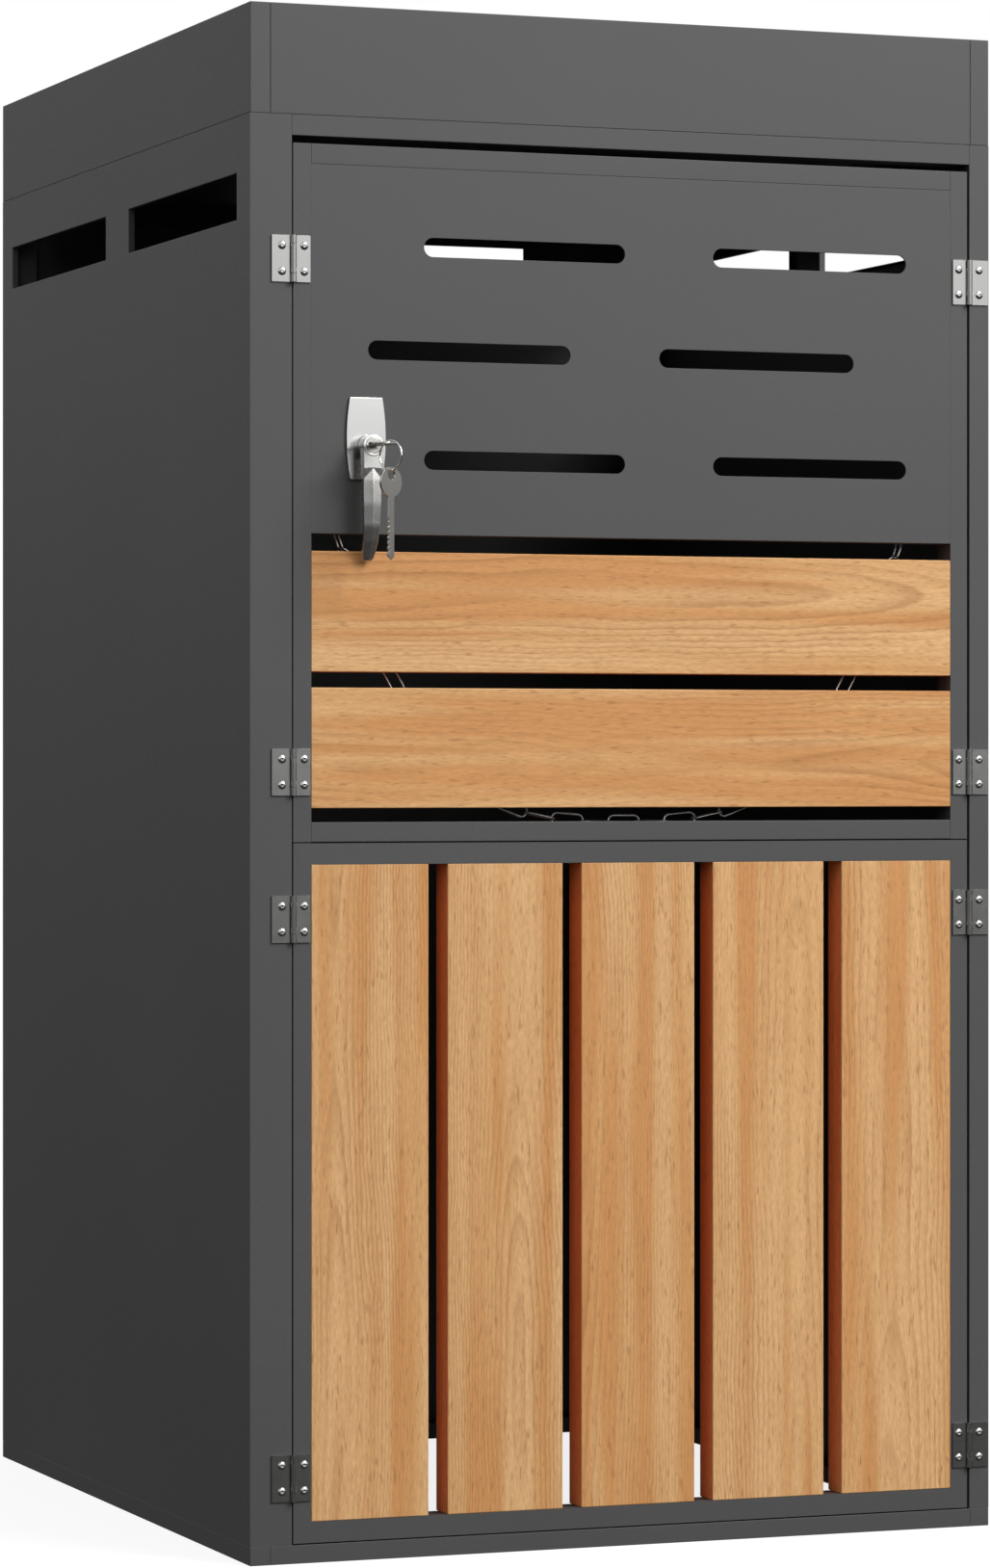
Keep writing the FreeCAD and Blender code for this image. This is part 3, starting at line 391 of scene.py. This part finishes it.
def metal(name, colour, roughness):
    # a bare metal with a faint unevenness of colour and gloss, as rolling and plating leave it
    look = metalLook
    material, tree, shader = newMaterial(name)
    place = addNode(tree, "ShaderNodeTexCoord").outputs["Object"]
    clouds = addNode(tree, "ShaderNodeTexNoise",
                     {"Vector": place, "Scale": look["cloudsPerMetre"], "Detail": 2.0})
    light = hexColor(colour)
    tint = addNode(tree, "ShaderNodeValToRGB", {"Fac": clouds.outputs["Fac"]},
                   stops=[(0.3, tuple(c * look["darkest"] for c in light[:3])), (0.7, light)])
    rough = addNode(tree, "ShaderNodeMapRange",
                    {"Value": clouds.outputs["Fac"], "From Min": 0.3, "From Max": 0.7,
                     "To Min": roughness * (1 - look["glossSpread"]),
                     "To Max": roughness * (1 + look["glossSpread"])})
    bump = addNode(tree, "ShaderNodeBump",
                   {"Height": clouds.outputs["Fac"], "Strength": look["reliefStrength"],
                    "Distance": look["relief"] * mm})
    tree.links.new(tint.outputs["Color"], shader.inputs["Base Color"])
    tree.links.new(rough.outputs["Result"], shader.inputs["Roughness"])
    tree.links.new(bump.outputs["Normal"], shader.inputs["Normal"])
    shader.inputs["Metallic"].default_value = 1.0
    return material


powderCoat = powderCoatedSteel()
boardFace = oiledHardwood("oiled hardwood", woodLook)
# the edge wood is the face wood with painted warm bounce light in its colours
boardEdgeBounce = oiledHardwood("oiled hardwood, edge with painted bounce light", edgeBounceLook)
# rolled sheet, left satin: a soft grey that mirrors only large shapes
hingeSteel = metal("satin stainless steel", "#A6A6A4", 0.26)
# turned and tumbled: small sharp highlights on every dome
screwSteel = metal("polished stainless steel", "#D6D6D4", 0.14)
# cast zinc under nickel: the plate fades softly from light to dark
lockMetal = metal("satin nickel plate", "#C6C6C4", 0.18)
leverMetal = metal("polished nickel plate", "#EFEEEB", 0.27)
# stamped brass under nickel: slightly warm and bright
keyMetal = metal("nickel-plated brass", "#C8C6C0", 0.2)
# drawn and welded wire: a bright line along each bend
chainSteel = metal("bright steel wire", "#EDEDEC", 0.16)
# zinc on plain steel: a dull bluish grey
zincSteel = metal("zinc-plated steel", "#B9BDC0", 0.35)
print("materials made")


camera = {
    "place": (-1.7353, -4.5796, 0.6634),
    "turn": -20.856,           # degrees, to the right
    "lens": 123.13,
    "shiftY": -0.0105,
}


def makeCamera():
    data = bpy.data.cameras.new("camera")
    item = bpy.data.objects.new("camera", data)
    scene.collection.objects.link(item)
    item.location = camera["place"]
    item.rotation_euler = (math.radians(90), 0, math.radians(camera["turn"]))
    data.lens = camera["lens"]
    data.shift_y = camera["shiftY"]
    data.clip_end = 60
    data.dof.use_dof = False
    scene.camera = item


stage = {
    "floorSize": 60,
    "floorColour": "#808080",
    "floorGlow": 0.86,
    # the sky from straight down to straight up: place and brightness
    "sky": [(0.0, 0.03), (0.505, 0.06), (0.525, 0.216), (0.55, 0.756), (1.0, 0.576)],
    "key": {"place": (2.6, -3.9, 4.4), "size": (2.6, 2.6), "power": 250},
    "front": {"place": (1.9, -5.4, 2.75), "size": (5.0, 3.4), "power": 60},
}


def makeLamp(name, place, size, power):
    data = bpy.data.lights.new(name, "AREA")
    data.shape = "RECTANGLE"
    data.size, data.size_y = size
    data.energy = power
    item = bpy.data.objects.new(name, data)
    scene.collection.objects.link(item)
    item.location = place
    item.rotation_euler = (Vector((0, 0, 0.7)) - Vector(place)).to_track_quat("-Z", "Y").to_euler()
    return item


def makeStage():
    scene.view_settings.view_transform = "Standard"
    deselectAll()
    bpy.ops.mesh.primitive_plane_add(size=stage["floorSize"], location=(0, 0, 0))
    floor = named("floor")
    material, tree, shader = newMaterial("pale studio floor")
    shader.inputs["Base Color"].default_value = hexColor(stage["floorColour"])
    shader.inputs["Roughness"].default_value = 0.9
    shader.inputs["Specular IOR Level"].default_value = 0.0
    shader.inputs["Emission Color"].default_value = (1, 1, 1, 1)
    shader.inputs["Emission Strength"].default_value = stage["floorGlow"]
    paint(floor, material)
    # the floor throws no light up into the cabinet and isn't mirrored in the metal
    floor.visible_diffuse = False
    floor.visible_glossy = False

    world = bpy.data.worlds.new("studio")
    scene.world = world
    world.use_nodes = True
    tree = world.node_tree
    background = tree.nodes["Background"]
    place = addNode(tree, "ShaderNodeTexCoord").outputs["Generated"]
    up = addNode(tree, "ShaderNodeSeparateXYZ", {0: place}).outputs["Z"]
    height = addNode(tree, "ShaderNodeMapRange", {"Value": up, "From Min": -1.0, "From Max": 1.0})
    glow = addNode(tree, "ShaderNodeValToRGB", {"Fac": height.outputs["Result"]},
                   stops=[(spot, (bright,) * 3) for spot, bright in stage["sky"]])
    seen = addNode(tree, "ShaderNodeLightPath").outputs["Is Camera Ray"]
    plain = addNode(tree, "ShaderNodeMix", {0: seen, 6: glow.outputs["Color"], 7: (1, 1, 1, 1)},
                    data_type="RGBA")
    tree.links.new(plain.outputs[2], background.inputs["Color"])
    for name in ("key", "front"):
        makeLamp(name, **stage[name])


makeCamera()
makeStage()
print("camera, floor and light made")


# the steel cabinet and the two door frames
steelParts = {
    # body: (node, edge radius in mm)
    "cabinet": [("base_front_sill", 0.5), ("base_back_rail", 0.5), ("base_side_rail_left", 0.5),
                ("base_side_rail_right", 0.5), ("post_front_left", 0.7), ("post_front_right", 0.7),
                ("post_back_left", 0.7), ("post_back_right", 0.7), ("header_front", 0.5),
                ("header_back", 0.5), ("header_left", 0.5), ("header_right", 0.5),
                ("side_panel_left", 0.6), ("side_panel_right", 0.6), ("back_panel", 0.3),
                ("fascia_front", 0.8), ("fascia_back", 0.8), ("fascia_left", 0.8),
                ("fascia_right", 0.8), ("roof_tray", 0.4)],
    "lower_door": [("lower_door_stile_left", 0.6), ("lower_door_stile_right", 0.6),
                   ("lower_door_rail_bottom", 0.6), ("lower_door_rail_top", 0.6)],
    "upper_door": [("upper_door_stile_left", 0.6), ("upper_door_stile_right", 0.6),
                   ("upper_door_rail_bottom", 0.6), ("upper_door_rail_top", 0.6),
                   ("slotted_panel", 0.35)],
}


def makeSteelwork():
    for body, parts in steelParts.items():
        for nodeName, edge in parts:
            piece = copyNode(nodeName, nodeName + "_steel", edge)
            paint(piece, powderCoat)
            hand(piece, body, "powder_coat", nodeName)


makeSteelwork()
print("steelwork made")


boards = {
    "ease": 0.8,               # mm rounded off every edge
    "standing": [("standing_slat_%d" % i, "Z") for i in range(1, 6)],
    "lying": [("lying_slat_%d" % i, "X") for i in (1, 2)],
    # where each board lies in its log: across and through from the heart, and how far up it
    "log": {
        "standing_slat_1": (0.030, 0.030, 0.2), "standing_slat_2": (-0.012, 0.034, 1.3),
        "standing_slat_3": (0.062, 0.040, 2.9), "standing_slat_4": (-0.030, 0.028, 4.1),
        "standing_slat_5": (0.004, 0.036, 5.6), "lying_slat_1": (0.016, 0.026, 7.2),
        "lying_slat_2": (-0.018, 0.022, 9.4),
    },
}


def makeBoard(nodeName, lengthwise, body):
    low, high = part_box(nodeName)
    middle, span = (low + high) / 2, high - low
    deselectAll()
    bpy.ops.mesh.primitive_cube_add(size=1, location=middle, scale=span)
    piece = named(nodeName.replace("slat", "board"))
    settle(piece)
    softenEdges(piece, boards["ease"] * mm, 3)
    # the long narrow faces and the ends take the redder edge wood, a painted warm bounce light from the
    # neighbouring boards; the wide faces take the plain wood
    paint(piece, boardFace)
    piece.data.materials.append(boardEdgeBounce)
    for face in piece.data.polygons:
        if abs(face.normal.y) < 0.05 and (face.area > 2e-4):
            face.material_index = 1
    place = piece.data.attributes.new("grain", "FLOAT_VECTOR", "POINT")
    across, through, along = boards["log"][nodeName]
    for i, point in enumerate(piece.data.vertices):
        side = point.co - middle
        wide, long = (side.x, side.z) if lengthwise == "Z" else (side.z, side.x)
        place.data[i].vector = (wide + across, side.y + through, long + along)
    smoothByAngle(piece)
    hand(piece, body, "slat_wood", nodeName)
    return piece


for nodeName, lengthwise in boards["standing"]:
    makeBoard(nodeName, lengthwise, "lower_door")
for nodeName, lengthwise in boards["lying"]:
    makeBoard(nodeName, lengthwise, "upper_door")
print("boards made")


def looseParts(nodeName):
    # the lowest and highest corner of each separate solid of a CAD node
    mesh = frame["nodes"][nodeName].data.copy()
    piece = bpy.data.objects.new("parts", mesh)
    scene.collection.objects.link(piece)
    pick(piece)
    editMode()
    bpy.ops.mesh.select_all(action="SELECT")
    bpy.ops.mesh.remove_doubles(threshold=0.01 * mm)
    bpy.ops.mesh.separate(type="LOOSE")
    objectMode()
    found = []
    for part in list(bpy.context.selected_objects):
        points = [v.co for v in part.data.vertices]
        low = Vector([min(p[i] for p in points) for i in range(3)])
        high = Vector([max(p[i] for p in points) for i in range(3)])
        found.append((low, high))
        bpy.data.objects.remove(part)
    return sorted(found, key=lambda pair: tuple(pair[0]))


def joinAll(pieces, name):
    deselectAll()
    for piece in pieces:
        piece.select_set(True)
    bpy.context.view_layer.objects.active = pieces[0]
    if len(pieces) > 1:
        bpy.ops.object.join()
    return named(name)


def copyTo(piece, name, shift):
    # the same shape again, with its own mesh, moved in the mesh
    other = bpy.data.objects.new(name, piece.data.copy())
    scene.collection.objects.link(other)
    other.data.transform(Matrix.Translation(shift))
    return other


screwHead = {
    "radius": 3.5,             # mm
    "dome": 1.3,               # mm, how far the dome stands off the leaf
    "socket": 0.95,            # mm, radius of the hole for the key
    "socketDeep": 0.9,
}


def makeScrewHead():
    # a pan-headed screw seen from the front, its middle at the origin and its dome towards -y
    look = screwHead
    r = look["radius"] * mm
    deselectAll()
    bpy.ops.mesh.primitive_uv_sphere_add(segments=28, ring_count=14, radius=r, location=(0, 0, 0))
    head = named("screw_head")
    editMode()
    bpy.ops.mesh.select_all(action="SELECT")
    bpy.ops.mesh.bisect(plane_co=(0, 0, 0), plane_no=(0, 0, 1), use_fill=True, clear_inner=True)
    bpy.ops.mesh.select_all(action="SELECT")
    bpy.ops.transform.resize(value=(1, 1, look["dome"] / look["radius"]), center_override=(0, 0, 0))
    # the socket: the crown is dropped to a flat, narrowed and pushed in
    selectFaces(head, lambda c, n: c.z > 0 and math.hypot(c.x, c.y) < 0.30 * r)
    bpy.ops.mesh.delete(type="FACE")
    selectEdges(head, lambda a, b: min(a.z, b.z) > look["dome"] * mm * 0.9
                and max(math.hypot(a.x, a.y), math.hypot(b.x, b.y)) < 0.36 * r
                and abs(math.hypot(a.x, a.y) - math.hypot(b.x, b.y)) < 0.01 * mm)
    bpy.ops.mesh.extrude_region_move(TRANSFORM_OT_translate={"value": (0, 0, 0)})
    bpy.ops.transform.resize(value=(look["socket"] / (0.33 * look["radius"]),) * 2 + (1,),
                             center_override=(0, 0, 0))
    bpy.ops.mesh.extrude_region_move(TRANSFORM_OT_translate={"value": (0, 0, -look["socketDeep"] * mm)})
    bpy.ops.mesh.edge_face_add()
    bpy.ops.mesh.select_all(action="SELECT")
    bpy.ops.mesh.remove_doubles(threshold=0.001 * mm)
    bpy.ops.mesh.normals_make_consistent(inside=False)
    objectMode()
    head.rotation_euler = (math.radians(90), 0, 0)
    settle(head)
    return head


def makeHinges():
    leaves = {"hinge_post_leaves": "cabinet", "lower_door_hinge_leaves": "lower_door",
              "upper_door_hinge_leaves": "upper_door"}
    for nodeName, body in leaves.items():
        piece = copyNode(nodeName, nodeName.replace("_leaves", "_plates"), 0.3, 2)
        paint(piece, hingeSteel)
        hand(piece, body, "hinge_steel", nodeName)
    pins = copyNode("hinge_pins", "hinge_pin_rods", 0.2, 2)
    paint(pins, screwSteel)
    hand(pins, "cabinet", "hinge_steel", "hinge_pins")
    print("hinge plates made")
    head = makeScrewHead()
    for nodeName, body in {"hinge_screws_posts": "cabinet", "hinge_screws_lower_door": "lower_door",
                           "hinge_screws_upper_door": "upper_door"}.items():
        heads = []
        for low, high in looseParts(nodeName):
            middle = (low + high) / 2
            seat = low.y + screwHead["dome"] * mm
            heads.append(copyTo(head, "head", (middle.x, seat, middle.z)))
        piece = joinAll(heads, nodeName.replace("_screws_", "_pan_heads_"))
        smoothByAngle(piece, 40)
        paint(piece, screwSteel)
        hand(piece, body, "hinge_steel", nodeName)
    bpy.data.objects.remove(head)


makeHinges()
print("hinge screws made")


joints = {joint["name"]: joint for joint in frame["joints"]}
lock = Vector(joints["handle_turn"]["pos_m"])     # on the lock's axis, in the door's front plane

lever = {
    "hubRadius": 9.0,          # mm
    "hubStart": 9.4,           # mm in front of the door
    "hubEnd": 21.0,
    "bore": 6.75,
    "apex": 19.0,              # mm below the axis, where the ridge starts
    "facet": 9.0,              # mm further down, where the two facets reach the edges
    # share of the length, front edge, back edge, width, all in mm; the ridge stands proud of
    # the front edge by the last number
    "length": 96.0,
    "stations": [(0.0, 20.6, 11.4, 17.4, 0.0), (0.18, 20.4, 12.4, 16.9, 0.0),
                 (0.3, 18.6, 13.0, 16.0, 2.1), (0.5, 18.4, 13.0, 15.4, 2.3),
                 (0.7, 17.4, 11.6, 14.2, 2.3), (0.82, 14.4, 9.0, 13.0, 2.1),
                 (0.92, 9.9, 5.8, 11.6, 1.8), (0.975, 7.2, 4.6, 9.8, 1.4),
                 (1.0, 5.9, 3.8, 6.4, 0.9)],
    "steps": 30,
}


def leverAt(share):
    # the lever's front, back, width and ridge at a share of its length, eased between stations
    stations = lever["stations"]
    for (s0, *a), (s1, *b) in zip(stations, stations[1:]):
        if share <= s1:
            t = (share - s0) / (s1 - s0)
            t = t * t * (3 - 2 * t) * 0.35 + t * 0.65
            return [x + (y - x) * t for x, y in zip(a, b)]
    return list(stations[-1][1:])


def makeLever():
    look = lever
    tight, near, wider = 0.01 * mm, 0.05 * mm, 0.1 * mm      # how close counts as the same place
    # hub: a turned barrel, bored for the lock cylinder
    deselectAll()
    hubLong = (look["hubEnd"] - look["hubStart"]) * mm
    hubMiddle = lock - Vector((0, (look["hubEnd"] + look["hubStart"]) / 2 * mm, 0))
    bpy.ops.mesh.primitive_cylinder_add(vertices=56, radius=look["hubRadius"] * mm, depth=hubLong,
                                        location=hubMiddle, rotation=(math.radians(90), 0, 0))
    hub = named("hub")
    settle(hub)
    editMode()
    selectFaces(hub, lambda c, n: n.y < -0.9)
    bpy.ops.mesh.inset(thickness=(look["hubRadius"] - look["bore"]) * mm)
    bpy.ops.mesh.extrude_region_move(TRANSFORM_OT_translate={"value": (0, hubLong * 0.9, 0)})
    objectMode()
    softenEdges(hub, 0.6 * mm, 3, 60)

    # lever: a bar drawn down from the axis, section by section
    def corner(share):
        front, back, wide, ridge = leverAt(share)
        z = lock.z - share * look["length"] * mm
        return lock.y - front * mm, lock.y - back * mm, wide * mm, z

    apex, facet = look["apex"] / look["length"], look["facet"] / look["length"]
    shares = [2 / look["length"], apex, apex + facet]
    tail = shares[-1]
    shares += [tail + (1 - tail) * (i + 1) / look["steps"] for i in range(look["steps"])]
    yf, yb, wide, z = corner(shares[0])
    deselectAll()
    bpy.ops.mesh.primitive_cube_add(size=1, location=(lock.x, (yf + yb) / 2, z + mm),
                                    scale=(wide, yb - yf, 2 * mm))
    bar = named("bar")
    settle(bar)
    editMode()
    for share in shares[1:]:
        nf, nb, nextWide, nz = corner(share)
        selectFaces(bar, lambda c, n: abs(c.z - z) < near and n.z < -0.3)
        bpy.ops.mesh.extrude_region_move(TRANSFORM_OT_translate={
            "value": (0, (nf + nb - yf - yb) / 2, nz - z)})
        bpy.ops.transform.resize(value=(nextWide / wide, (nb - nf) / (yb - yf), 1),
                                 center_override=(lock.x, (nf + nb) / 2, nz))
        yf, yb, wide, z = nf, nb, nextWide, nz
    # a line down the middle, raised to a ridge on the front below the apex
    bpy.ops.mesh.select_all(action="SELECT")
    bpy.ops.mesh.bisect(plane_co=(lock.x, 0, 0), plane_no=(1, 0, 0))
    bpy.ops.mesh.select_mode(type="VERT")
    for share in shares[2:]:
        front, back, wide, ridge = leverAt(share)
        level = lock.z - share * look["length"] * mm
        selectPoints(bar, lambda p: abs(p.z - level) < near and abs(p.x - lock.x) < tight
                     and abs(p.y - (lock.y - front * mm)) < near)
        bpy.ops.transform.translate(value=(0, -ridge * mm, 0))
    # the facets start in an arrowhead: from the apex out to both edges
    apexZ = lock.z - look["apex"] * mm
    lowZ = apexZ - look["facet"] * mm
    front, frontLow = leverAt(apex)[0], leverAt(apex + facet)[0]
    for side in (-1, 1):
        selectPoints(bar, lambda p: (
            abs(p.z - apexZ) < near and abs(p.x - lock.x) < near
            and abs(p.y - (lock.y - front * mm)) < wider) or (
            abs(p.z - lowZ) < near and (p.x - lock.x) * side > 2 * mm
            and abs(p.y - (lock.y - frontLow * mm)) < wider))
        bpy.ops.mesh.vert_connect()
    objectMode()
    softenEdges(bar, 0.4 * mm, 2, 9)
    # the bar's top is cleared for the lock cylinder
    deselectAll()
    bpy.ops.mesh.primitive_cylinder_add(vertices=56, radius=look["bore"] * mm, depth=hubLong * 1.5,
                                        location=hubMiddle, rotation=(math.radians(90), 0, 0))
    drill = named("drill")
    pick(bar)
    clear = bar.modifiers.new("bore", "BOOLEAN")
    clear.operation = "DIFFERENCE"
    clear.object = drill
    bpy.ops.object.modifier_apply(modifier=clear.name)
    bpy.data.objects.remove(drill)
    piece = joinAll([hub, bar], "handle_lever_cast")
    smoothByAngle(piece, 8)
    paint(piece, leverMetal)
    return hand(piece, "handle", "lock_metal", "handle_lever")


def makeLock():
    # node: (piece, body, slot, material, edge in mm)
    parts = {
        "lock_escutcheon": ("lock_plate", "upper_door", "lock_metal", lockMetal, 0.7),
        "lock_fixing_nut": ("lock_nut", "upper_door", "zinc_fixing", zincSteel, 0.4),
        "lock_cylinder": ("lock_barrel_plug", "lock_barrel", "key_metal", keyMetal, 0.35),
        "handle_spindle": ("handle_shaft", "handle", "lock_metal", leverMetal, 0.3),
        "lock_cam": ("lock_cam_arm", "handle", "zinc_fixing", zincSteel, 0.4),
        "cam_nut": ("lock_cam_nut", "handle", "zinc_fixing", zincSteel, 0.4),
        "door_key": ("key_in_lock", "key", "key_metal", keyMetal, 0.25),
        "spare_key": ("key_on_ring", "spare", "key_metal", keyMetal, 0.25),
        "key_ring": ("key_ring_wire", "ring", "chain_steel", chainSteel, 0),
        "bolt_guide": ("bolt_guide_loops", "lower_door", "zinc_fixing", zincSteel, 0.3),
        "bolt_keeper": ("bolt_keeper_loop", "cabinet", "zinc_fixing", zincSteel, 0.3),
        "slide_bolt": ("slide_bolt_rod", "bolt", "zinc_fixing", zincSteel, 0.3),
    }
    for nodeName, (name, body, slotName, material, edge) in parts.items():
        piece = copyNode(nodeName, name, edge, 2)
        paint(piece, material)
        hand(piece, body, slotName, nodeName)


makeLever()
makeLock()
print("lock, handle and keys made")


def makeChain():
    # the chain, its eyes, and the screws hidden behind the boards
    for nodeName, name in {"door_chain": "chain_links", "chain_eyes": "chain_eye_bolts"}.items():
        piece = copyNode(nodeName, name, 0)
        paint(piece, chainSteel)
        hand(piece, "upper_door", "chain_steel", nodeName)
    for nodeName, body in {"slat_screws_lower_door": "lower_door",
                           "slat_screws_upper_door": "upper_door"}.items():
        piece = copyNode(nodeName, nodeName.replace("_screws_", "_fixings_"), 0.3, 2)
        paint(piece, zincSteel)
        hand(piece, body, "zinc_fixing", nodeName)


makeChain()
print("chain made")
